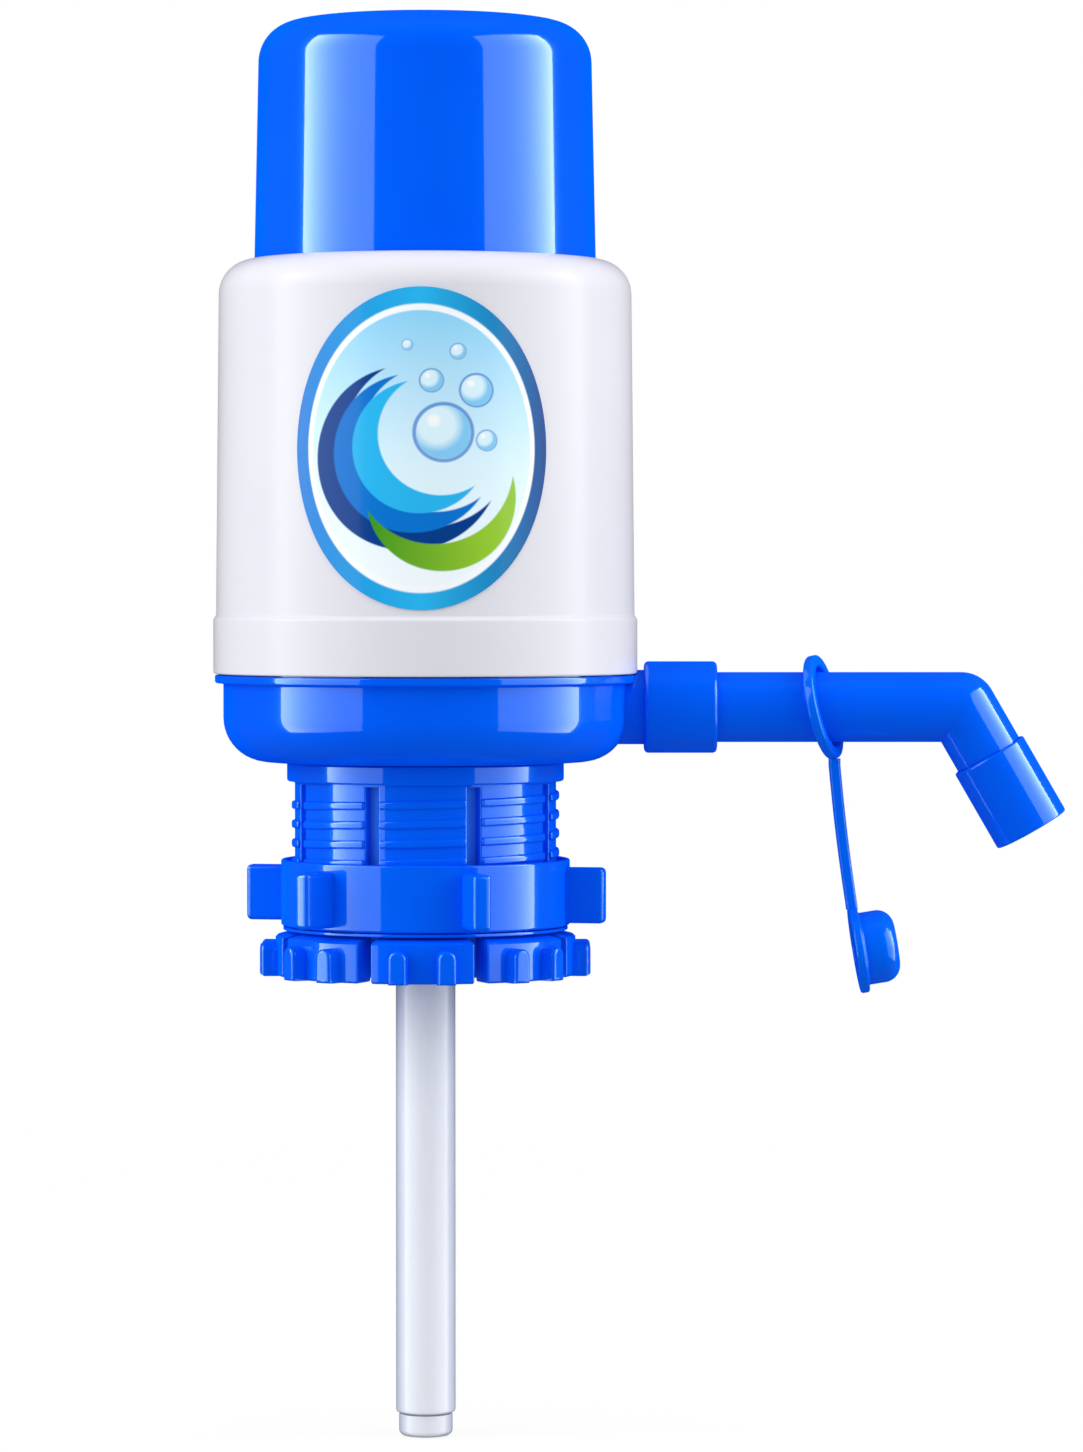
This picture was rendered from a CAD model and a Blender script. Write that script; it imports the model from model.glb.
from math import asin, atan2, cos, hypot, pi, radians, sin, sqrt, tan

import bmesh
import bpy
from mathutils import Matrix, Vector


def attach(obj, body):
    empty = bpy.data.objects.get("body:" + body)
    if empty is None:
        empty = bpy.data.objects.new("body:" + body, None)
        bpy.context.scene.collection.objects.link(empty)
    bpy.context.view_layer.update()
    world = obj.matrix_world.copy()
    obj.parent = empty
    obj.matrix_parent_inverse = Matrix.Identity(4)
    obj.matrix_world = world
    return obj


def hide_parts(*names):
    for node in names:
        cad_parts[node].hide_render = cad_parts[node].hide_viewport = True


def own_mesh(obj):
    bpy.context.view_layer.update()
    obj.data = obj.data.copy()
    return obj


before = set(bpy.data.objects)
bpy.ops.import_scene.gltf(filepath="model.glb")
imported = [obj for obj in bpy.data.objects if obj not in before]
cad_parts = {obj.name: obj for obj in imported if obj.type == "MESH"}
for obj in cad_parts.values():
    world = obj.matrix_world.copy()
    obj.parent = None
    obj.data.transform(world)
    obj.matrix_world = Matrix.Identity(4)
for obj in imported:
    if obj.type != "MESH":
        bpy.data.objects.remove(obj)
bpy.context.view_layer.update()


# The base: a blue cup moulded in one with the lip that the shell stands on and the stub
# of the spout. Glued into its wall is the water elbow, a second moulding with the dip
# tube's socket in its middle, which stands on the cup's floor on three footed stays.
MM = 0.001
TOUCH = 0.01 * MM
GAP = 0.3
SUNK = 1
TURN_STEPS = 112
SHARP = radians(32)
WIDE_ROUNDING, WIDE_SEGMENTS = 4, 12
SPOUT_Z = 18.4
CUP_R, CUP_FOOT, CUP_CORNER, CUP_WALL = 50.45, 4.9, 11, 3.3
CUP_HOLE_R, CUP_FLOOR = 24.3, 7.3
LIP_R, LIP_LOW, LIP_HIGH = 52.55, 24.5, 26.5
COLLAR_R, COLLAR_IN_R, COLLAR_LOW, COLLAR_HIGH = 50.25, 48.35, 28, 31.5
STUB_R, STUB_FROM, STUB_END = 9.3, 48.2, 63.9
WATER_R, SPIGOT_HOLE_R, SPIGOT_HOLE_END = 6.5, 7.3, 55.5
HUB_R, HUB_FOOT, HUB_TOP, HUB_CEILING, HUB_BORE_R = 10.95, -3, 28, 24.9, 5.9
TUBE_HOLE_R, TUBE_STOP = 7.75, 10.5
ELBOW_FROM, ELBOW_SHOULDER, ELBOW_END, ELBOW_END_R = 8, 43.8, 51.15, 8
STAY_T, STAY_LOW, STAY_HIGH, STAY_END, STAY_FOOT = 2.2, 13.3, 24.3, 35.4, 28.5
FLOW_SCALE, PEEL_SCALE = 22, 900
SHINE = 0.5


def lathe(outline, steps=TURN_STEPS, bm=None, place=None, closed=True):
    """Spins an outline of (radius, height) pairs in mm round Z, into a mesh of its own or a given one."""
    bm = bm or bmesh.new()
    old = set(bm.verts)
    verts = [bm.verts.new((r * MM, 0, z * MM)) for r, z in outline]
    followers = verts[1:] + verts[:1] if closed else verts[1:]
    edges = [bm.edges.new(pair) for pair in zip(verts, followers) if pair[0].co.x > 0 or pair[1].co.x > 0]
    bmesh.ops.spin(bm, geom=verts + edges, cent=(0, 0, 0), axis=(0, 0, 1), angle=2 * pi, steps=steps,
                   use_merge=True)
    bmesh.ops.remove_doubles(bm, verts=[v for v in bm.verts if v not in old], dist=TOUCH / 10)
    if place:
        bmesh.ops.transform(bm, matrix=place, verts=[v for v in bm.verts if v not in old])
    bmesh.ops.recalc_face_normals(bm, faces=[f for f in bm.faces if f.verts[0] not in old])
    return bm


def bevel(bm, edges, size, segments, clamp=False):
    """Rounds edges by a size in mm."""
    bmesh.ops.bevel(bm, geom=edges, offset=size * MM, offset_type="OFFSET", affect="EDGES",
                    segments=segments, profile=0.5, material=-1, clamp_overlap=clamp)


def round_rings(bm, rings, segments=4):
    """Rounds ring edges, each given by its radius, its height and the size of the rounding in mm."""
    for r, z, size in rings:
        edges = [e for e in bm.edges
                 if all(abs(hypot(v.co.x, v.co.y) - r * MM) < TOUCH and abs(v.co.z - z * MM) < TOUCH
                        for v in e.verts)]
        bevel(bm, edges, size, WIDE_SEGMENTS if size >= WIDE_ROUNDING else segments)
    return bm


def box(bm, low, high, edge=0.0, place=None):
    """Adds a box between two corners in mm, with its edges rounded."""
    old = set(bm.verts)
    low, high = Vector(low) * MM, Vector(high) * MM
    bmesh.ops.create_cube(bm, size=1, matrix=Matrix.Translation((low + high) / 2)
                          @ Matrix.Diagonal((*(high - low), 1)))
    if edge:
        bevel(bm, [e for e in bm.edges if e.verts[0] not in old], edge, 3)
    if place:
        bmesh.ops.transform(bm, matrix=place, verts=[v for v in bm.verts if v not in old])


def noise(tree, scale, detail):
    """Noise on the piece's own coordinates."""
    spot = tree.nodes.new("ShaderNodeTexCoord")
    node = tree.nodes.new("ShaderNodeTexNoise")
    node.inputs["Scale"].default_value, node.inputs["Detail"].default_value = scale, detail
    tree.links.new(spot.outputs["Object"], node.inputs["Vector"])
    return node.outputs["Fac"]


def map_range(tree, value, to, over=(0, 1), smooth=False):
    """Takes a socket's value from one range to another."""
    node = tree.nodes.new("ShaderNodeMapRange")
    node.interpolation_type = "SMOOTHSTEP" if smooth else "LINEAR"
    node.inputs["From Min"].default_value, node.inputs["From Max"].default_value = over
    node.inputs["To Min"].default_value, node.inputs["To Max"].default_value = to
    tree.links.new(value, node.inputs["Value"])
    return node.outputs["Result"]


def colour_ramp(tree, value, stops):
    """Colours by a socket's value, from pairs of a position and a colour."""
    node = tree.nodes.new("ShaderNodeValToRGB")
    elements = node.color_ramp.elements
    for element, (position, colour) in zip(elements, (stops[0], stops[-1])):
        element.position, element.color = position, (*colour, 1)
    for position, colour in stops[1:-1]:
        elements.new(position).color = (*colour, 1)
    tree.links.new(value, node.inputs["Fac"])
    return node.outputs["Color"]


def moulded(name, colour, shade, roughness, grain=0.012, coat=0.0, soft=0.0, sheen=(1, 1, 1)):
    """Moulded plastic: slow flow marks in its colour and gloss, and a very fine orange peel. A coated
    plastic's gloss fades where it is seen edge-on."""
    material = bpy.data.materials.new(name)
    material.use_nodes = True
    tree = material.node_tree
    shader = tree.nodes["Principled BSDF"]
    plain = {"Metallic": 0.0, "IOR": 1.5, "Specular IOR Level": SHINE, "Specular Tint": (*sheen, 1),
             "Coat Roughness": 0.03, "Coat IOR": 1.6, "Subsurface Weight": soft,
             "Subsurface Radius": (0.004, 0.004, 0.005)}
    for socket, value in plain.items():
        shader.inputs[socket].default_value = value
    flow = noise(tree, FLOW_SCALE, 3)
    tint = colour_ramp(tree, flow, ((0.3, shade), (0.7, colour)))
    gloss = map_range(tree, flow, (roughness - 0.03, roughness + 0.04))
    bump = tree.nodes.new("ShaderNodeBump")
    bump.inputs["Strength"].default_value = 0.25
    bump.inputs["Distance"].default_value = grain * MM
    tree.links.new(noise(tree, PEEL_SCALE, 2), bump.inputs["Height"])
    varied = {"Base Color": tint, "Roughness": gloss, "Normal": bump.outputs["Normal"]}
    if coat:
        facing = tree.nodes.new("ShaderNodeLayerWeight").outputs["Facing"]
        varied["Coat Weight"] = map_range(tree, facing, (coat, coat * 0.1), over=(0.4, 0.7))
        varied["Specular IOR Level"] = map_range(tree, facing, (SHINE, 0), over=(0.4, 0.7))
    for socket, value in varied.items():
        tree.links.new(value, shader.inputs[socket])
    return material


def piece(name, bm, material, body, slot, *nodes):
    """Makes the named object of a mesh, and tells the frame its body, its finish and what it stands for."""
    mesh = bpy.data.meshes.new(name)
    bm.to_mesh(mesh)
    bm.free()
    mesh.shade_smooth()
    mesh.set_sharp_from_angle(angle=SHARP)
    made = bpy.data.objects.new(name, mesh)
    bpy.context.scene.collection.objects.link(made)
    mesh.materials.append(material)
    flat = made.modifiers.new("flat", "WEIGHTED_NORMAL")
    flat.keep_sharp = True
    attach(made, body)
    if nodes:
        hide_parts(*nodes)
    return made


ALONG_SPOUT = Matrix.Translation((0, 0, SPOUT_Z * MM)) @ Matrix.Rotation(pi / 2, 4, "Y")
BLUE_SHEEN = (0.0, 1.0, 1.0)
blue_gloss = moulded("blue_gloss_plastic", (0.0, 0.115, 1.0), (0.0, 0.1, 0.98), 0.16, coat=1,
                     sheen=BLUE_SHEEN)

cup_in_r = CUP_R - CUP_WALL
cup = lathe([(CUP_HOLE_R, CUP_FOOT), (CUP_R, CUP_FOOT), (CUP_R, LIP_LOW), (LIP_R, LIP_LOW),
             (LIP_R, LIP_HIGH), (COLLAR_R, LIP_HIGH), (COLLAR_R, COLLAR_HIGH), (COLLAR_IN_R, COLLAR_HIGH),
             (COLLAR_IN_R, COLLAR_LOW), (cup_in_r, COLLAR_LOW), (cup_in_r, CUP_FLOOR),
             (CUP_HOLE_R, CUP_FLOOR)])
round_rings(cup, [(CUP_R, CUP_FOOT, CUP_CORNER), (cup_in_r, CUP_FLOOR, CUP_CORNER - CUP_WALL),
                  (CUP_R, LIP_LOW, 0.5), (LIP_R, LIP_LOW, 0.5), (LIP_R, LIP_HIGH, 0.4),
                  (CUP_HOLE_R, CUP_FOOT, 0.4), (COLLAR_R, COLLAR_HIGH, 0.3)])
socket_r, socket_end = ELBOW_END_R + GAP, ELBOW_END + GAP
lathe([(socket_r, STUB_FROM), (STUB_R, STUB_FROM), (STUB_R, STUB_END), (SPIGOT_HOLE_R, STUB_END),
       (SPIGOT_HOLE_R, SPIGOT_HOLE_END), (WATER_R, SPIGOT_HOLE_END), (WATER_R, socket_end),
       (socket_r, socket_end)], steps=64, bm=cup, place=ALONG_SPOUT)
piece("base_cup_skin", cup, blue_gloss, "base", "blue_plastic", "base_cup")

elbow = lathe([(TUBE_HOLE_R, HUB_FOOT), (HUB_R, HUB_FOOT), (HUB_R, HUB_TOP), (0, HUB_TOP),
               (0, HUB_CEILING), (HUB_BORE_R, HUB_CEILING), (HUB_BORE_R, TUBE_STOP),
               (TUBE_HOLE_R, TUBE_STOP)], steps=64)
round_rings(elbow, [(HUB_R, HUB_FOOT, 0.5), (TUBE_HOLE_R, HUB_FOOT, 0.5)])
lathe([(WATER_R, ELBOW_FROM), (STUB_R, ELBOW_FROM), (STUB_R, ELBOW_SHOULDER),
       (ELBOW_END_R, ELBOW_SHOULDER), (ELBOW_END_R, ELBOW_END), (WATER_R, ELBOW_END)],
      steps=64, bm=elbow, place=ALONG_SPOUT)
for angle in (pi / 2, pi, -pi / 2):
    turned = Matrix.Rotation(angle, 4, "Z")
    box(elbow, (HUB_R - SUNK, -STAY_T / 2, STAY_LOW), (STAY_END, STAY_T / 2, STAY_HIGH), place=turned)
    box(elbow, (STAY_FOOT, -STAY_T / 2, CUP_FLOOR + GAP), (STAY_END, STAY_T / 2, STAY_LOW), place=turned)
piece("water_elbow_skin", elbow, blue_gloss, "base", "blue_plastic", "water_elbow")


# The deck over the base and the plate under the cap, in plain natural plastic, each with
# its valve: a silicone disc on a pin over a ring of air holes. The bellows is clamped to
# the two plates by bands. The seals in the base are black rubber cord.
natural = moulded("natural_plastic", (0.82, 0.82, 0.86), (0.76, 0.76, 0.80), 0.42)
silicone = moulded("valve_silicone", (0.64, 0.72, 0.84), (0.58, 0.66, 0.78), 0.5)
seal_rubber = moulded("seal_rubber", (0.03, 0.03, 0.035), (0.018, 0.018, 0.02), 0.55, grain=0.03)
inner_finishes = {
    "valve_plate": natural, "head_plate": natural, "bellows_lower_band": natural,
    "bellows_upper_band": natural, "inlet_valve_pin": natural, "outlet_valve_pin": natural,
    "inlet_valve_disc": silicone, "outlet_valve_disc": silicone, "tube_o_ring": seal_rubber,
    "spout_o_ring": seal_rubber}


def recoat(node, material):
    """Gives a CAD piece that stays its finish."""
    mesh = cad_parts[node].data
    mesh.materials.clear()
    mesh.materials.append(material)


for node, finish in inner_finishes.items():
    recoat(node, finish)


# The bellows: blow-moulded soft plastic, with round crests and roots, and a straight neck
# at each end. Pushing the cap folds it, and it lifts the cap again.
BELLOWS_LOW, BELLOWS_HIGH = 31.1, 181.3
BELLOWS_NECK, BELLOWS_NECK_R = 8, 34
CREST_R, ROOT_R, FOLD_ROUND = 37, 30, 1.6
FOLDS = 7
BELLOWS_WALL = 0.9

bellows_finish = moulded("bellows_plastic", (0.68, 0.74, 0.87), (0.62, 0.68, 0.82), 0.4, soft=0.15)
first, last = BELLOWS_LOW + BELLOWS_NECK, BELLOWS_HIGH - BELLOWS_NECK
fold = (last - first) / FOLDS
crests = [(CREST_R, first + fold * (i + 0.5)) for i in range(FOLDS)]
roots = [(ROOT_R, first + fold * (i + 1)) for i in range(FOLDS - 1)]
folds = sorted(crests + roots, key=lambda point: point[1])
wall = lathe([(BELLOWS_NECK_R, BELLOWS_LOW), (BELLOWS_NECK_R, first), *folds, (BELLOWS_NECK_R, last),
              (BELLOWS_NECK_R, BELLOWS_HIGH)], steps=64, closed=False)
round_rings(wall, [(r, z, FOLD_ROUND) for r, z in folds])
bmesh.ops.solidify(wall, geom=wall.faces, thickness=BELLOWS_WALL * MM)
bellows = piece("bellows_folds", wall, bellows_finish, "base", "bellows_plastic", "bellows")
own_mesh(bellows)


# The cap that the hand pushes: a deep blue moulding with a softly crowned top, a round top
# edge and slightly drafted sides. A rim round its foot stops it under the shell's mouth,
# and a ring inside its top presses on the head plate.
CAP_TOP, CAP_CROWN, CAP_EDGE = 190.1, 1.2, 10
CAP_TOP_R, CAP_FOOT_R, CAP_WALL = 41.5, 42.6, 1.9
RIM_TOP, RIM_FOOT, RIM_R = 127.15, 124.35, 45
BOSS_R, BOSS_W, BOSS_FOOT = 21, 2, 184.4
CROWN_STEPS = 5


def arc(middle_r, middle_z, radius, start, end, steps):
    """Points of an arc between two angles in degrees, 0 outwards and 90 up."""
    angles = [radians(start + (end - start) * i / steps) for i in range(steps + 1)]
    return [(middle_r + radius * cos(a), middle_z + radius * sin(a)) for a in angles]


edge_r, edge_z = CAP_TOP_R - CAP_EDGE, CAP_TOP - CAP_CROWN - CAP_EDGE
crown_shares = [i / CROWN_STEPS for i in range(CROWN_STEPS)]
crown = [(edge_r * share, CAP_TOP - CAP_CROWN * share ** 2) for share in crown_shares]
cap_in_top = CAP_TOP - CAP_CROWN - CAP_WALL
cap = lathe(crown + arc(edge_r, edge_z, CAP_EDGE, 90, 0, 14)
            + [(CAP_FOOT_R, RIM_TOP), (RIM_R, RIM_TOP), (RIM_R, RIM_FOOT), (CAP_FOOT_R - CAP_WALL, RIM_FOOT)]
            + arc(edge_r, edge_z, CAP_EDGE - CAP_WALL, 0, 90, 8)
            + [(BOSS_R, cap_in_top), (BOSS_R, BOSS_FOOT), (BOSS_R - BOSS_W, BOSS_FOOT),
               (BOSS_R - BOSS_W, cap_in_top), (0, cap_in_top)])
round_rings(cap, [(RIM_R, RIM_TOP, 0.4), (RIM_R, RIM_FOOT, 0.6), (BOSS_R, BOSS_FOOT, 0.4)])
piece("press_cap_skin", cap, blue_gloss, "cap", "blue_plastic", "press_cap")


# The white body that the cap slides in: a thin shell with a round shoulder, a lip round
# its mouth and a wider band at its foot, notched where the water stub leaves the base.
MOUTH_R, SHELL_TOP, SHOULDER_R = 42.9, 129.8, 8.55
SHELL_TOP_R, SHELL_FOOT_R, SHELL_WALL = 51.45, 52.25, 2
BAND_R, BAND_TOP, BAND_EDGE, SHELL_FOOT = 52.95, 41.3, 0.8, 26.8
BAND_IN_R = 50.55
NOTCH_FROM, NOTCH_TO = 46, 56


def carve(made, cutter):
    """Cuts a mesh out of a finished piece for good."""
    mesh = bpy.data.meshes.new("cutter")
    cutter.to_mesh(mesh)
    cutter.free()
    tool = bpy.data.objects.new("cutter", mesh)
    bpy.context.scene.collection.objects.link(tool)
    cut = made.modifiers.new("cut", "BOOLEAN")
    cut.operation = "DIFFERENCE"
    cut.solver = "EXACT"
    cut.object = tool
    made.modifiers.move(1, 0)
    made.modifiers["flat"].show_viewport = False
    ready = made.evaluated_get(bpy.context.evaluated_depsgraph_get())
    made.data = bpy.data.meshes.new_from_object(ready)
    made.modifiers["flat"].show_viewport = True
    made.modifiers.remove(cut)
    bpy.data.objects.remove(tool)


white_gloss = moulded("white_gloss_plastic", (0.71, 0.71, 0.77), (0.69, 0.69, 0.755), 0.24,
                      sheen=(0.35, 0.35, 0.35))
shoulder_z = SHELL_TOP - SHOULDER_R
shell = lathe(arc(MOUTH_R, shoulder_z, SHOULDER_R, 90, 0, 14)
              + [(SHELL_FOOT_R, BAND_TOP), (BAND_R, BAND_TOP - BAND_EDGE), (BAND_R, SHELL_FOOT),
                 (BAND_IN_R, SHELL_FOOT), (BAND_IN_R, BAND_TOP - BAND_EDGE),
                 (SHELL_FOOT_R - SHELL_WALL, BAND_TOP)]
              + arc(MOUTH_R, shoulder_z, SHOULDER_R - SHELL_WALL, 0, 90, 8))
round_rings(shell, [(MOUTH_R, SHELL_TOP, 0.6), (BAND_R, BAND_TOP - BAND_EDGE, 0.4),
                    (BAND_R, SHELL_FOOT, 0.5), (SHELL_FOOT_R, BAND_TOP, 0.3)])
shell = piece("shell_skin", shell, white_gloss, "base", "white_plastic", "shell")
notch_r = STUB_R + GAP
carve(shell, lathe([(0, NOTCH_FROM), (notch_r, NOTCH_FROM), (notch_r, NOTCH_TO), (0, NOTCH_TO)],
                   steps=64, place=ALONG_SPOUT))
shell.data.set_sharp_from_angle(angle=SHARP)


# The label: an oval film stuck on the shell's front. Its print is a plain badge with a
# blue border, crescents of blue and green, and rising bubbles.
LABEL_W, LABEL_H, LABEL_T = 64, 77.75, 0.25
LABEL_Z, LABEL_LIFT = 81.78, 0.05
LABEL_CELLS = 48


def on_disc(u, w):
    """Takes a place in a square from -1 to 1 to one in a round disc."""
    return u * sqrt(1 - w * w / 2), w * sqrt(1 - u * u / 2)


film = bmesh.new()
bmesh.ops.create_grid(film, x_segments=LABEL_CELLS, y_segments=LABEL_CELLS, size=1)
print_place = film.loops.layers.uv.new("print")
for face in film.faces:
    for loop in face.loops:
        loop[print_place].uv = on_disc(*loop.vert.co.xy)
for v in film.verts:
    u, w = on_disc(*v.co.xy)
    x, z = LABEL_W / 2 * u, LABEL_Z + LABEL_H / 2 * w
    share = (z - BAND_TOP) / (shoulder_z - BAND_TOP)
    r = SHELL_FOOT_R + (SHELL_TOP_R - SHELL_FOOT_R) * share + LABEL_LIFT
    v.co = (r * sin(x / r) * MM, -r * cos(x / r) * MM, z * MM)
bmesh.ops.recalc_face_normals(film, faces=film.faces)
if film.faces[0].normal.y > 0:
    bmesh.ops.reverse_faces(film, faces=film.faces)
bmesh.ops.solidify(film, geom=film.faces, thickness=-LABEL_T * MM)

label_print = moulded("label_print", (0.2, 0.5, 0.85), (0.2, 0.5, 0.85), 0.2, coat=0.1,
                      sheen=(0.5, 0.6, 0.7))
badge = label_print.node_tree
uv = badge.nodes.new("ShaderNodeUVMap")
uv.uv_map = "print"


def maths(tree, operation, *values, clamp=False):
    """Adds a Math node, each of whose values is a number or the socket that gives it."""
    node = tree.nodes.new("ShaderNodeMath")
    node.operation, node.use_clamp = operation, clamp
    for value, socket in zip(values, node.inputs):
        if isinstance(value, (int, float)):
            socket.default_value = value
        else:
            tree.links.new(value, socket)
    return node.outputs["Value"]


def disc(middle, radius, blur=0.012, squeeze=1.25):
    """A mask that is 1 inside a round spot of the print; the print is taller than wide by squeeze."""
    place = badge.nodes.new("ShaderNodeMapping")
    place.inputs["Location"].default_value = (-middle[0], -middle[1] * squeeze, 0)
    place.inputs["Scale"].default_value = (1, squeeze, 1)
    badge.links.new(uv.outputs["UV"], place.inputs["Vector"])
    length = badge.nodes.new("ShaderNodeVectorMath")
    length.operation = "LENGTH"
    badge.links.new(place.outputs["Vector"], length.inputs[0])
    return map_range(badge, length.outputs["Value"], (1, 0), over=(radius - blur, radius))


def outside(mask, other):
    """A mask that holds where the first does and the second doesn't."""
    return maths(badge, "SUBTRACT", mask, other, clamp=True)


def paint(under, mask, colour, strength=1.0):
    """Lays a colour, or another socket's colour, over what is printed so far where the mask holds."""
    mix = badge.nodes.new("ShaderNodeMix")
    mix.data_type = "RGBA"
    if strength < 1:
        mask = maths(badge, "MULTIPLY", mask, strength)
    badge.links.new(mask, mix.inputs["Factor"])
    badge.links.new(under, mix.inputs["A"])
    if isinstance(colour, tuple):
        mix.inputs["B"].default_value = (*colour, 1)
    else:
        badge.links.new(colour, mix.inputs["B"])
    return mix.outputs["Result"]


def fade(axis, stops):
    """Colours that change along the print's width (X) or height (Y)."""
    split = badge.nodes.new("ShaderNodeSeparateXYZ")
    badge.links.new(uv.outputs["UV"], split.inputs["Vector"])
    return colour_ramp(badge, map_range(badge, split.outputs[axis], (0, 1), over=(-1, 1)), stops)


def beside(middle, radius, left, up):
    """A place in a bubble, off its middle by shares of its radius."""
    return middle[0] - radius * left, middle[1] + radius * up


PRINT_NAVY, PRINT_BLUE, PRINT_CYAN = (0.0, 0.045, 0.26), (0.0, 0.17, 0.62), (0.02, 0.46, 0.86)
PRINT_SKY, PRINT_PALE, PRINT_WHITE = (0.20, 0.62, 0.93), (0.70, 0.90, 0.99), (0.93, 0.97, 1.0)
PRINT_GREEN, PRINT_LEAF = (0.04, 0.30, 0.01), (0.30, 0.58, 0.03)
BORDER_IN, FIELD = 0.90, 0.86
BUBBLE_IN, BUBBLE_LIT, BUBBLE_GLINT = 0.88, 0.86, 0.26

art = fade("X", [(0, PRINT_BLUE), (0.5, PRINT_CYAN), (1, PRINT_NAVY)])
art = paint(art, disc((0, 0), BORDER_IN, squeeze=1), PRINT_WHITE)
art = paint(art, disc((0, 0), FIELD, squeeze=1),
            fade("Y", [(0, PRINT_WHITE), (0.45, PRINT_PALE), (1, PRINT_SKY)]))
crescents = [((-0.10, -0.06), 0.72, (0.06, 0.04), 0.66, PRINT_NAVY),
             ((-0.06, -0.03), 0.62, (0.11, 0.06), 0.57, PRINT_BLUE),
             ((-0.01, 0.01), 0.52, (0.15, 0.09), 0.48, PRINT_CYAN)]
for middle, radius, cut_middle, cut_radius, colour in crescents:
    art = paint(art, outside(disc(middle, radius), disc(cut_middle, cut_radius)), colour)
art = paint(art, outside(disc((0.16, -0.30), 0.58), disc((0.10, -0.10), 0.62)),
            fade("X", [(0.3, PRINT_GREEN), (0.75, PRINT_LEAF)]))
bubbles = [((0.17, 0.10), 0.24), ((0.42, 0.36), 0.14), ((0.08, 0.42), 0.10), ((0.50, 0.05), 0.09),
           ((0.28, 0.60), 0.07), ((-0.10, 0.64), 0.05)]
for middle, radius in bubbles:
    inner = disc(middle, radius * BUBBLE_IN)
    lit = disc(beside(middle, radius, 0.2, 0.18), radius * BUBBLE_LIT, blur=radius * 0.3)
    glint = disc(beside(middle, radius, 0.3, 0.3), radius * BUBBLE_GLINT, blur=radius * 0.12)
    art = paint(art, disc(middle, radius), PRINT_BLUE, 0.75)
    art = paint(art, inner, PRINT_PALE)
    art = paint(art, outside(inner, lit), PRINT_CYAN, 0.7)
    art = paint(art, glint, PRINT_WHITE)
badge.links.new(art, badge.nodes["Principled BSDF"].inputs["Base Color"])
piece("front_label_film", film, label_print, "base", "label_print", "front_label")


# The neck clamp, in one tough blue moulding: a web with a snap collar for the base, a
# flange, and eight springy fingers with the broken turns of a thread. The fingers end in
# a crown with two grip ribs each. A rubber ring seals the jug's mouth, and a soft liner
# lies inside the fingers.
WEB_HOLE_R, WEB_LOW = 22, 1.8
SNAP_R, SNAP_TOP, HOOK_R, HOOK_LOW, HOOK_HIGH = 24, 8.8, 25.1, 7.6, 8.2
FLANGE_R, FLANGE_TOP, FLANGE_SKIRT = 34.6, 4.6, -0.5
FINGERS = 8
FINGER_IN_R, FINGER_R, FINGER_TOP, FINGER_FOOT = 29.6, 32.65, 1.0, -48.4
CROWN_R, CROWN_TOP, SLOPE_TOP, CROWN_EDGE = 37.5, -38.4, -37.4, 0.5
SLOT_W = 3.4
CREASE = radians(60)
RIB_PITCH, RIB_FIRST, RIB_COUNT = 4.75, 4.8, 8
RIB_R, RIB_W, RIB_ROOT_R, RIB_SHORT = 33.45, 2.1, 32.2, 0.25
GRIP_W, GRIP_R, GRIP_TOP, GRIP_FOOT, GRIP_EDGE = 4.5, 41.5, -40.0, -48.4, 0.9
GRIP_ANGLE = 8.6
SLEEVE_IN_R, SLEEVE_R, SLEEVE_FOOT = 28.4, 29.3, -47.5
GASKET_R, GASKET_T = 28.1, 1.5


def sector(outline, half_angle, steps, climb=0.0):
    """Spins an outline in mm through part of a turn, half of it to each side of +X, and closes its ends."""
    bm = bmesh.new()
    start = Matrix.Rotation(-half_angle, 4, "Z")
    verts = [bm.verts.new(start @ Vector((r * MM, 0, (z - climb / 2) * MM))) for r, z in outline]
    edges = [bm.edges.new(pair) for pair in zip(verts, verts[1:] + verts[:1])]
    turned = bmesh.ops.spin(bm, geom=verts + edges, cent=(0, 0, 0), axis=(0, 0, 1),
                            dvec=(0, 0, climb * MM / steps), angle=2 * half_angle, steps=steps)
    bm.faces.new(verts)
    end = [e for e in turned["geom_last"] if isinstance(e, bmesh.types.BMEdge)]
    bmesh.ops.contextual_create(bm, geom=end)
    bmesh.ops.recalc_face_normals(bm, faces=bm.faces)
    return bm


def round_edges(bm, size):
    """Rounds every edge that turns by more than CREASE, by a size in mm."""
    sharp = [e for e in bm.edges if e.is_manifold and e.calc_face_angle() > CREASE]
    bevel(bm, sharp, size, 3, clamp=True)


def stamp(bm, part, places):
    """Adds a copy of a small mesh at each of the places."""
    for place in places:
        mesh = bpy.data.meshes.new("stamp")
        part.to_mesh(mesh)
        mesh.transform(place)
        bm.from_mesh(mesh)
        bpy.data.meshes.remove(mesh)
    part.free()


def around(share, angle=0.0):
    """Turns from +X to a share of the turn that is counted from the front."""
    return Matrix.Rotation(2 * pi * share - pi / 2 + radians(angle), 4, "Z")


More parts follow.
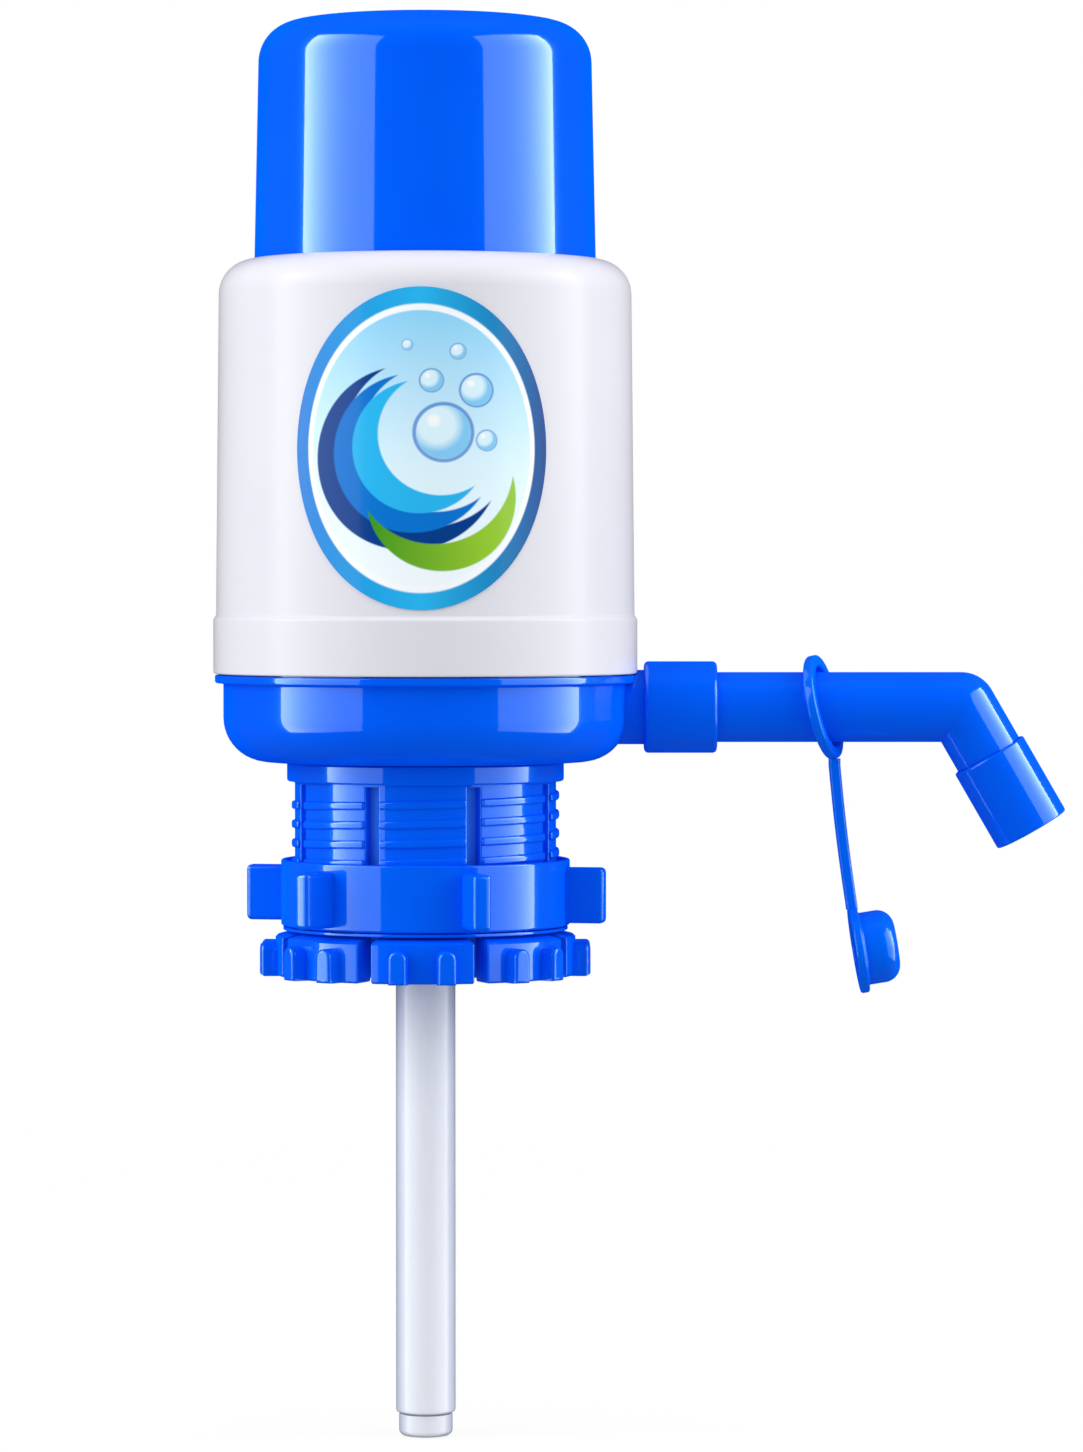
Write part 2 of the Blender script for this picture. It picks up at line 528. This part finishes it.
clamp_blue = moulded("blue_clamp_plastic", (0.0, 0.125, 1.0), (0.0, 0.11, 0.98), 0.18, coat=1,
                     sheen=BLUE_SHEEN)
collet = lathe([(WEB_HOLE_R, WEB_LOW), (WEB_HOLE_R, SNAP_TOP), (SNAP_R, SNAP_TOP), (HOOK_R, HOOK_HIGH),
                (HOOK_R, HOOK_LOW), (SNAP_R, HOOK_LOW), (SNAP_R, FLANGE_TOP), (FLANGE_R, FLANGE_TOP),
                (FLANGE_R, 0), (FINGER_R, 0), (FINGER_R, FLANGE_SKIRT), (FINGER_IN_R, FLANGE_SKIRT),
                (FINGER_IN_R, WEB_LOW)])
round_rings(collet, [(FLANGE_R, FLANGE_TOP, 0.4), (FLANGE_R, 0, 0.6)])
finger_half = pi / FINGERS
finger = sector([(FINGER_IN_R, FINGER_TOP), (FINGER_R, FINGER_TOP), (FINGER_R, SLOPE_TOP),
                 (CROWN_R - CROWN_EDGE, CROWN_TOP), (CROWN_R, CROWN_TOP - CROWN_EDGE),
                 (CROWN_R, FINGER_FOOT + CROWN_EDGE), (CROWN_R - CROWN_EDGE, FINGER_FOOT),
                 (FINGER_IN_R, FINGER_FOOT)], finger_half, 14)
for v in finger.verts:
    r, angle = hypot(v.co.x, v.co.y), atan2(v.co.y, v.co.x)
    angle *= (finger_half - asin(SLOT_W / 2 * MM / r)) / finger_half
    v.co.x, v.co.y = r * cos(angle), r * sin(angle)
round_edges(finger, 0.45)
stamp(collet, finger, [around(i / FINGERS) for i in range(FINGERS)])

rib_half = finger_half - (SLOT_W / 2 + RIB_SHORT) / FINGER_R
for i in range(FINGERS):
    start_share = ((i + 1) % FINGERS - 1) / FINGERS
    heights = [RIB_PITCH * (start_share - k) - RIB_FIRST for k in range(RIB_COUNT)]
    heights = [z for z in heights if SLOPE_TOP + GAP < z - RIB_W / 2 and z + RIB_W / 2 < -GAP]
    rib = sector([(RIB_ROOT_R, -RIB_W / 2), (RIB_R, -RIB_W / 2), (RIB_R, RIB_W / 2),
                  (RIB_ROOT_R, RIB_W / 2)], rib_half, 10, climb=RIB_PITCH * rib_half / pi)
    round_edges(rib, 0.6)
    stamp(collet, rib, [around(i / FINGERS) @ Matrix.Translation((0, 0, z * MM)) for z in heights])

grip = bmesh.new()
grip_root = CROWN_R - SUNK
arch = arc(0, GRIP_TOP - GRIP_W / 2, GRIP_W / 2, 180, 0, 12)
arch = [(-GRIP_W / 2, GRIP_FOOT), *arch, (GRIP_W / 2, GRIP_FOOT)]
front = grip.faces.new([grip.verts.new((GRIP_R * MM, y * MM, z * MM)) for y, z in arch])
back = bmesh.ops.extrude_face_region(grip, geom=[front], use_keep_orig=True)["geom"]
bmesh.ops.translate(grip, vec=((grip_root - GRIP_R) * MM, 0, 0),
                    verts=[v for v in back if isinstance(v, bmesh.types.BMVert)])
bmesh.ops.recalc_face_normals(grip, faces=grip.faces)
rim = [e for e in grip.edges if all(abs(v.co.x - GRIP_R * MM) < TOUCH for v in e.verts)]
bevel(grip, rim, GRIP_EDGE, 4)
stamp(collet, grip, [around(i / FINGERS, side) for i in range(FINGERS) for side in (-GRIP_ANGLE, GRIP_ANGLE)])
piece("collet_skin", collet, clamp_blue, "base", "blue_plastic", "collet")

liner_blue = moulded("blue_liner", (0.05, 0.26, 1.0), (0.04, 0.23, 1.0), 0.35, sheen=BLUE_SHEEN)
liner = lathe([(SLEEVE_IN_R, GASKET_T), (SLEEVE_R, GASKET_T), (SLEEVE_R, SLEEVE_FOOT),
               (SLEEVE_IN_R, SLEEVE_FOOT)])
round_rings(liner, [(SLEEVE_IN_R, SLEEVE_FOOT, 0.3)])
piece("neck_sleeve_skin", liner, liner_blue, "base", "blue_liner", "neck_sleeve")
seat = lathe([(WEB_HOLE_R, GASKET_T), (GASKET_R, GASKET_T), (GASKET_R, 0), (WEB_HOLE_R, 0)])
round_rings(seat, [(WEB_HOLE_R, GASKET_T, 0.3), (WEB_HOLE_R, 0, 0.3)])
piece("neck_gasket_skin", seat, seal_rubber, "base", "black_rubber", "neck_gasket")


# The clamp ring: it is screwed up along the fingers by its six lugs and draws them in
# against the jug's neck. A thin slip ring lies between it and the crown.
RING_BORE_R, RING_R, RING_FOOT, RING_TOP, RING_LEAD = 33.8, 36.1, -36.0, -19.5, 1
LUGS, LUG_T, LUG_R, LUG_FOOT, LUG_TOP, LUG_EDGE = 6, 4.6, 45.7, -35.2, -21.3, 1.2
FIRST_LUG = 19
SLIP_R, SLIP_TOP, SLIP_FOOT = 35.6, -36.3, -37.1

clamp_ring = lathe([(RING_BORE_R, RING_TOP - RING_LEAD), (RING_BORE_R + RING_LEAD, RING_TOP),
                    (RING_R, RING_TOP), (RING_R, RING_FOOT), (RING_BORE_R, RING_FOOT)])
round_rings(clamp_ring, [(RING_R, RING_TOP, 0.5), (RING_R, RING_FOOT, 0.6),
                         (RING_BORE_R + RING_LEAD, RING_TOP, 0.3)])
lug = bmesh.new()
box(lug, ((RING_BORE_R + RING_R) / 2, -LUG_T / 2, LUG_FOOT), (LUG_R, LUG_T / 2, LUG_TOP), edge=LUG_EDGE)
stamp(clamp_ring, lug, [around(i / LUGS, FIRST_LUG) for i in range(LUGS)])
piece("clamp_ring_skin", clamp_ring, clamp_blue, "ring", "blue_plastic", "clamp_ring")
slip = lathe([(RING_BORE_R, SLIP_TOP), (SLIP_R, SLIP_TOP), (SLIP_R, SLIP_FOOT), (RING_BORE_R, SLIP_FOOT)])
round_rings(slip, [(SLIP_R, SLIP_TOP, 0.25), (SLIP_R, SLIP_FOOT, 0.25)])
piece("slip_ring_skin", slip, clamp_blue, "slip", "blue_plastic", "slip_ring")


# The dip tube: a drawn tube of milky, bluish plastic, chamfered at both ends, with a
# narrower moulded end piece pushed into its foot.
TUBE_R, TUBE_BORE_R, TUBE_TOP, TUBE_FOOT = 7.45, 5.9, 10.2, -158.3
FOOT_R, FOOT_BORE_R, FOOT_END, FOOT_PUSHED_IN = 6.7, 4.2, -164.1, 8.7

tube_plastic = moulded("milky_tube_plastic", (0.87, 0.90, 1.0), (0.85, 0.885, 1.0), 0.2, soft=0.3)
tree = tube_plastic.node_tree
shader = tree.nodes["Principled BSDF"]
shader.inputs["Transmission Weight"].default_value = 0.05
through_wall = tree.nodes.new("ShaderNodeLayerWeight").outputs["Facing"]
wall_tint = colour_ramp(tree, through_wall, (
    (0, (1, 1, 1)), (0.27, (1, 1, 1)), (0.32, (0.9, 0.91, 0.93)), (0.5, (0.75, 0.77, 0.82)),
    (1, (0.5, 0.53, 0.6))))
milky = tree.nodes.new("ShaderNodeMix")
milky.data_type = "RGBA"
milky.blend_type = "MULTIPLY"
milky.inputs["Factor"].default_value = 1
tree.links.new(shader.inputs["Base Color"].links[0].from_socket, milky.inputs["A"])
tree.links.new(wall_tint, milky.inputs["B"])
tree.links.new(milky.outputs["Result"], shader.inputs["Base Color"])
tube = lathe([(TUBE_BORE_R, TUBE_TOP), (TUBE_R, TUBE_TOP), (TUBE_R, TUBE_FOOT), (TUBE_BORE_R, TUBE_FOOT)],
             steps=72)
round_rings(tube, [(TUBE_R, TUBE_TOP, 0.7), (TUBE_R, TUBE_FOOT, 0.8), (TUBE_BORE_R, TUBE_FOOT, 0.2)])
piece("dip_tube_skin", tube, tube_plastic, "base", "clear_tube", "dip_tube")
plug_in_r, plug_in_top, foot_top = TUBE_BORE_R - GAP, TUBE_FOOT + FOOT_PUSHED_IN, TUBE_FOOT - GAP
foot = lathe([(FOOT_BORE_R, plug_in_top), (plug_in_r, plug_in_top), (plug_in_r, foot_top),
              (FOOT_R, foot_top), (FOOT_R, FOOT_END), (FOOT_BORE_R, FOOT_END)], steps=72)
round_rings(foot, [(FOOT_R, FOOT_END, 1.4), (FOOT_R, foot_top, 0.3), (FOOT_BORE_R, FOOT_END, 0.3)])
piece("tube_foot_skin", foot, tube_plastic, "base", "clear_tube", "tube_foot")


# The spout: a coupling sleeve over the base's stub, a straight blue pipe with a tight
# bend at its end, and a push-on nozzle sleeve. The whole spout swivels on the stub.
UNION_X, UNION_END, UNION_R, UNION_EDGE = 54.6, 72.8, 11.45, 1.1
UNION_STUB_R, UNION_PIPE_R = 9.65, 9.05
PIPE_X, BEND_X, PIPE_R, PIPE_BORE_R, PIPE_EDGE = 64.2, 133.95, 8.75, 6.6, 0.4
SPIGOT_R, SPIGOT_L, SPIGOT_BORE_R, BORE_TAPER = 6.95, 8.4, 4.9, 2.2
GROOVE_R, GROOVE_FAR, GROOVE_NEAR = 5.9, 4.7, 3.3
BEND, BEND_STEPS = radians(60), 12
LEG_R, LEG_END, LEG_EDGE = 8.55, 24, 0.4
NOZZLE_FROM, NOZZLE_END, NOZZLE_R, NOZZLE_BORE_R = 13.75, 35.3, 9.75, 8.85
PIPE_SIDES = 56

union = lathe([(UNION_STUB_R, UNION_X), (UNION_R, UNION_X), (UNION_R, UNION_END),
               (UNION_PIPE_R, UNION_END), (UNION_PIPE_R, PIPE_X), (UNION_STUB_R, PIPE_X)], steps=88)
round_rings(union, [(UNION_R, UNION_X, UNION_EDGE), (UNION_R, UNION_END, UNION_EDGE),
                    (UNION_STUB_R, UNION_X, 0.3), (UNION_PIPE_R, UNION_END, 0.3)])
bmesh.ops.transform(union, matrix=ALONG_SPOUT, verts=union.verts)
piece("spout_union_skin", union, blue_gloss, "spout", "blue_plastic", "spout_union")

corner = Vector((BEND_X, 0, SPOUT_Z)) * MM
mitre = tan(BEND / 2)


def pipe_station(bm, radius, along, share):
    """A ring of the pipe's wall at a length from the bend's corner; in the bend its inner half is mitred."""
    made = bmesh.ops.create_circle(bm, segments=PIPE_SIDES, radius=radius * MM)["verts"]
    bent = Matrix.Translation(corner) @ Matrix.Rotation(pi / 2 + BEND * share, 4, "Y")
    for v in made:
        inner = along == 0 and v.co.x > 0
        deep = v.co.x
        v.co.z = along * MM
        v.co = bent @ v.co
        if inner:
            v.co = corner + Vector((-mitre * deep, (v.co - corner).y, -deep))
    return list(dict.fromkeys(e for v in made for e in v.link_edges))


def pipe_wall(bm, stations):
    """Joins the stations into one closed wall."""
    rings = [pipe_station(bm, *station) for station in stations]
    for near, far in zip(rings, rings[1:] + rings[:1]):
        bmesh.ops.bridge_loops(bm, edges=near + far)
    bmesh.ops.remove_doubles(bm, verts=bm.verts, dist=TOUCH)
    bmesh.ops.recalc_face_normals(bm, faces=bm.faces)


face = PIPE_X - BEND_X
nozzle_stop = NOZZLE_FROM - GAP
shares = [i / BEND_STEPS for i in range(BEND_STEPS + 1)]
outer_wall = [(SPIGOT_R, face - SPIGOT_L, 0), (SPIGOT_R, face - GROOVE_FAR, 0),
              (GROOVE_R, face - GROOVE_FAR, 0), (GROOVE_R, face - GROOVE_NEAR, 0),
              (SPIGOT_R, face - GROOVE_NEAR, 0), (SPIGOT_R, face, 0),
              (PIPE_R - PIPE_EDGE, face, 0), (PIPE_R, face + PIPE_EDGE, 0)]
outer_wall += [(PIPE_R, 0, share) for share in shares]
outer_wall += [(PIPE_R, nozzle_stop, 1), (LEG_R, nozzle_stop, 1), (LEG_R, LEG_END - LEG_EDGE, 1),
               (LEG_R - LEG_EDGE, LEG_END, 1)]
inner_wall = [(PIPE_BORE_R, LEG_END, 1)] + [(PIPE_BORE_R, 0, share) for share in reversed(shares)]
inner_wall += [(PIPE_BORE_R, face + BORE_TAPER, 0), (SPIGOT_BORE_R, face, 0),
               (SPIGOT_BORE_R, face - SPIGOT_L, 0)]
pipe = bmesh.new()
pipe_wall(pipe, outer_wall + inner_wall)
piece("spout_pipe_skin", pipe, blue_gloss, "spout", "blue_plastic", "spout_pipe")

nozzle = lathe([(NOZZLE_BORE_R, NOZZLE_FROM), (NOZZLE_R, NOZZLE_FROM), (NOZZLE_R, NOZZLE_END),
                (NOZZLE_BORE_R, NOZZLE_END)], steps=80)
round_rings(nozzle, [(NOZZLE_R, NOZZLE_FROM, 0.6), (NOZZLE_R, NOZZLE_END, 0.45),
                     (NOZZLE_BORE_R, NOZZLE_END, 0.3)])
bmesh.ops.transform(nozzle, matrix=Matrix.Translation(corner) @ Matrix.Rotation(pi / 2 + BEND, 4, "Y"),
                    verts=nozzle.verts)
piece("nozzle_sleeve_skin", nozzle, blue_gloss, "spout", "blue_plastic", "nozzle_sleeve")


# The tether, one soft blue moulding: a loop that hangs leaning on the pipe, a narrow strap
# and the plug that closes the nozzle, hollow behind its flange.
LOOP_X, LOOP_BORE_R, LOOP_R, LOOP_T, LOOP_EDGE = 99.45, 10.2, 13.2, 2.6, 0.7
LOOP_LEAN, LOOP_YAW = radians(12.6), radians(-15.5)
STRAP_W, STRAP_T, STRAP_DROP, STRAP_OUT, STRAP_BOW = 3.6, 2.9, 35, 4.3, 0.3
STRAP_STEPS, STRAP_ROUND, STRAP_ROOT, STRAP_TIP = 16, 0.8, 0.33, 0.1
PLUG_FLANGE_R, PLUG_FLANGE_T, PLUG_L, PLUG_R, PLUG_WALL, PLUG_EDGE = 10.9, 2.3, 8.5, 9.1, 1.9, 4.2
PLUG_TILT = radians(9.2)

tether_blue = moulded("blue_tether_plastic", (0.0, 0.14, 1.0), (0.0, 0.12, 0.98), 0.22, coat=0.8,
                      sheen=BLUE_SHEEN)
loop_place = (Matrix.Translation(Vector((LOOP_X, 0, SPOUT_Z)) * MM) @ Matrix.Rotation(LOOP_YAW, 4, "Z")
              @ Matrix.Rotation(pi / 2 - LOOP_LEAN, 4, "Y"))
loop = lathe([(LOOP_BORE_R, -LOOP_T / 2), (LOOP_R, -LOOP_T / 2), (LOOP_R, LOOP_T / 2),
              (LOOP_BORE_R, LOOP_T / 2)], steps=72)
round_rings(loop, [(r, z, LOOP_EDGE) for r in (LOOP_BORE_R, LOOP_R) for z in (-LOOP_T / 2, LOOP_T / 2)])
bmesh.ops.transform(loop, matrix=loop_place, verts=loop.verts)
piece("tether_loop_skin", loop, tether_blue, "loop", "blue_soft", "tether_loop")

hinge = loop_place @ (Vector((LOOP_R, 0, 0)) * MM) - Vector((0, 0, GAP + STRAP_T / 2)) * MM
half_t, half_w = STRAP_T / 2 - STRAP_ROUND, STRAP_W / 2 - STRAP_ROUND
corners = ((half_t, half_w), (-half_t, half_w), (-half_t, -half_w), (half_t, -half_w))
section = []
for quarter, (x, y) in enumerate(corners):
    section += arc(x, y, STRAP_ROUND, 90 * quarter, 90 * quarter + 90, 4)
strap = bmesh.new()
stations = [(0, STRAP_T / 2 + STRAP_ROOT)]
for i in range(STRAP_STEPS + 1):
    share = i / STRAP_STEPS
    stations.append((STRAP_OUT * share - STRAP_BOW * sin(pi * share), -STRAP_DROP * share))
stations.append((STRAP_OUT + STRAP_TIP, -STRAP_DROP - SUNK))
rings = [[strap.verts.new(hinge + Vector((out + x, y, z)) * MM) for x, y in section] for out, z in stations]
for above, below in zip(rings, rings[1:]):
    for i in range(len(section)):
        strap.faces.new((above[i - 1], above[i], below[i], below[i - 1]))
strap.faces.new(rings[0])
strap.faces.new(rings[-1])
bmesh.ops.remove_doubles(strap, verts=strap.verts, dist=TOUCH)
bmesh.ops.recalc_face_normals(strap, faces=strap.faces)
piece("tether_strap_skin", strap, tether_blue, "strap", "blue_soft", "tether_strap")

plug_face, plug_back = PLUG_FLANGE_T / 2, -PLUG_FLANGE_T / 2
plug_end, plug_in = plug_face + PLUG_L, PLUG_R - PLUG_WALL
plug = lathe([(0, plug_end), (PLUG_R, plug_end), (PLUG_R, plug_face), (PLUG_FLANGE_R, plug_face),
              (PLUG_FLANGE_R, plug_back), (plug_in, plug_back), (plug_in, plug_end - PLUG_WALL),
              (0, plug_end - PLUG_WALL)], steps=80)
round_rings(plug, [(PLUG_R, plug_end, PLUG_EDGE), (PLUG_FLANGE_R, plug_face, 0.6),
                   (PLUG_FLANGE_R, plug_back, 0.6), (PLUG_R, plug_face, 0.5), (plug_in, plug_back, 0.4)],
            segments=6)
down = Vector((sin(PLUG_TILT), 0, -cos(PLUG_TILT)))
plug_middle = hinge + Vector((STRAP_OUT, 0, -STRAP_DROP)) * MM + down * (PLUG_FLANGE_R + GAP) * MM
plug_place = Matrix.Translation(plug_middle) @ Matrix.Rotation(pi / 2 - PLUG_TILT, 4, "Y")
bmesh.ops.transform(plug, matrix=plug_place, verts=plug.verts)
piece("nozzle_plug_skin", plug, tether_blue, "strap", "blue_soft", "nozzle_plug")


# The stage: a plain pale floor that fades into the white background, two tall soft boxes
# in front, to the left and right, a broad one above, and the camera of the photograph.
# Gloss doesn't mirror the floor, and the world is nearly dark for it.
FLOOR_Z, FLOOR_R = -164.4, 4000
FADE_FROM, FADE_TO = 0.15, 0.9
CAMERA_AT, CAMERA_DOWN, LENS = (29.0, -1379.0, 50.25), radians(1.52), 136.8
BOX_POWER, BOX_INNER, BOX_OUTER, BOX_FOOT = 21.5, 0.45, 2.5, 0.62


def plain_sight(tree):
    """1 for the rays from the camera and those through the tube's wall, which see the white background."""
    rays = tree.nodes.new("ShaderNodeLightPath").outputs
    return maths(tree, "MAXIMUM", rays["Is Camera Ray"], rays["Is Transmission Ray"])


floor_mesh = bmesh.new()
bmesh.ops.create_circle(floor_mesh, cap_ends=True, segments=96, radius=FLOOR_R * MM,
                        matrix=Matrix.Translation((0, 0, FLOOR_Z * MM)))
mesh = bpy.data.meshes.new("floor")
floor_mesh.to_mesh(mesh)
floor_mesh.free()
floor = bpy.data.objects.new("floor", mesh)
bpy.context.scene.collection.objects.link(floor)
floor.visible_glossy = False
floor_paint = bpy.data.materials.new("pale_floor")
floor_paint.use_nodes = True
tree = floor_paint.node_tree
nodes, links = tree.nodes, tree.links
nodes.remove(nodes["Principled BSDF"])
matt = nodes.new("ShaderNodeBsdfDiffuse")
camera_ray = nodes.new("ShaderNodeLightPath").outputs["Is Camera Ray"]
links.new(map_range(tree, camera_ray, (0.5, 0.92)), matt.inputs["Color"])
white = nodes.new("ShaderNodeEmission")
reach = nodes.new("ShaderNodeVectorMath")
reach.operation = "LENGTH"
links.new(nodes.new("ShaderNodeTexCoord").outputs["Object"], reach.inputs[0])
far = map_range(tree, reach.outputs["Value"], (0.88, 1), over=(FADE_FROM, FADE_TO), smooth=True)
blend = nodes.new("ShaderNodeMixShader")
links.new(maths(tree, "MULTIPLY", plain_sight(tree), far), blend.inputs["Fac"])
links.new(matt.outputs["BSDF"], blend.inputs[1])
links.new(white.outputs["Emission"], blend.inputs[2])
links.new(blend.outputs["Shader"], nodes["Material Output"].inputs["Surface"])
mesh.materials.append(floor_paint)

studio = bpy.data.worlds.new("studio")
bpy.context.scene.world = studio
studio.use_nodes = True
tree = studio.node_tree
glossy_ray = tree.nodes.new("ShaderNodeLightPath").outputs["Is Glossy Ray"]
surround = map_range(tree, glossy_ray, (0.53, 0.015))
background = tree.nodes["Background"]
background.inputs["Color"].default_value = (1, 1, 1, 1)
tree.links.new(maths(tree, "MAXIMUM", plain_sight(tree), surround), background.inputs["Strength"])


def soft_box(name, place, aim, size, power, edges=(1, 1)):
    """A rectangular lamp at a place, turned to what it lights. Its brightness goes from the one side
    edge's to the other's, and its lower part is dimmer."""
    lamp = bpy.data.lights.new(name, "AREA")
    lamp.shape = "RECTANGLE"
    lamp.size, lamp.size_y = size
    lamp.energy = power
    lamp.use_nodes = True
    tree = lamp.node_tree
    cloth = tree.nodes.new("ShaderNodeNewGeometry")
    split = tree.nodes.new("ShaderNodeSeparateXYZ")
    tree.links.new(cloth.outputs["Parametric"], split.inputs["Vector"])
    across = split.outputs["X"]
    if edges[0] > edges[1]:
        edges = edges[::-1]
        across = maths(tree, "SUBTRACT", 1, across)
    sideways = map_range(tree, maths(tree, "POWER", across, 3), edges)
    upwards = map_range(tree, split.outputs["Y"], (BOX_FOOT, 1), over=(0.3, 0.5), smooth=True)
    strength = maths(tree, "MULTIPLY", sideways, upwards)
    tree.links.new(strength, tree.nodes["Emission"].inputs["Strength"])
    light = bpy.data.objects.new(name, lamp)
    bpy.context.scene.collection.objects.link(light)
    light.location = place
    light.rotation_euler = (Vector(aim) - Vector(place)).to_track_quat("-Z", "Y").to_euler()
    return light


def at_azimuth(degrees_right, distance, height):
    """A place round the pump, counted from the camera's side towards the right."""
    angle = radians(degrees_right)
    return (distance * sin(angle), -distance * cos(angle), height)


soft_box("left_box", at_azimuth(-60.5, 1.2, 0.25), (0, 0, 0.05), (1.25, 1.7), BOX_POWER,
         edges=(BOX_OUTER, BOX_INNER))
soft_box("right_box", at_azimuth(69.5, 1.2, 0.25), (0, 0, 0.05), (1.3, 1.7), BOX_POWER,
         edges=(BOX_INNER, BOX_OUTER))
top_box = soft_box("top_box", (0.05, -0.35, 1.4), (0.03, 0, 0), (1.3, 0.9), 8)
top_box.visible_glossy = False

lens = bpy.data.cameras.new("camera")
lens.lens = LENS
lens.sensor_width = 36
camera = bpy.data.objects.new("camera", lens)
bpy.context.scene.collection.objects.link(camera)
camera.location = Vector(CAMERA_AT) * MM
camera.rotation_euler = (pi / 2 - CAMERA_DOWN, 0, 0)
bpy.context.scene.camera = camera
bpy.context.scene.view_settings.view_transform = "Standard"
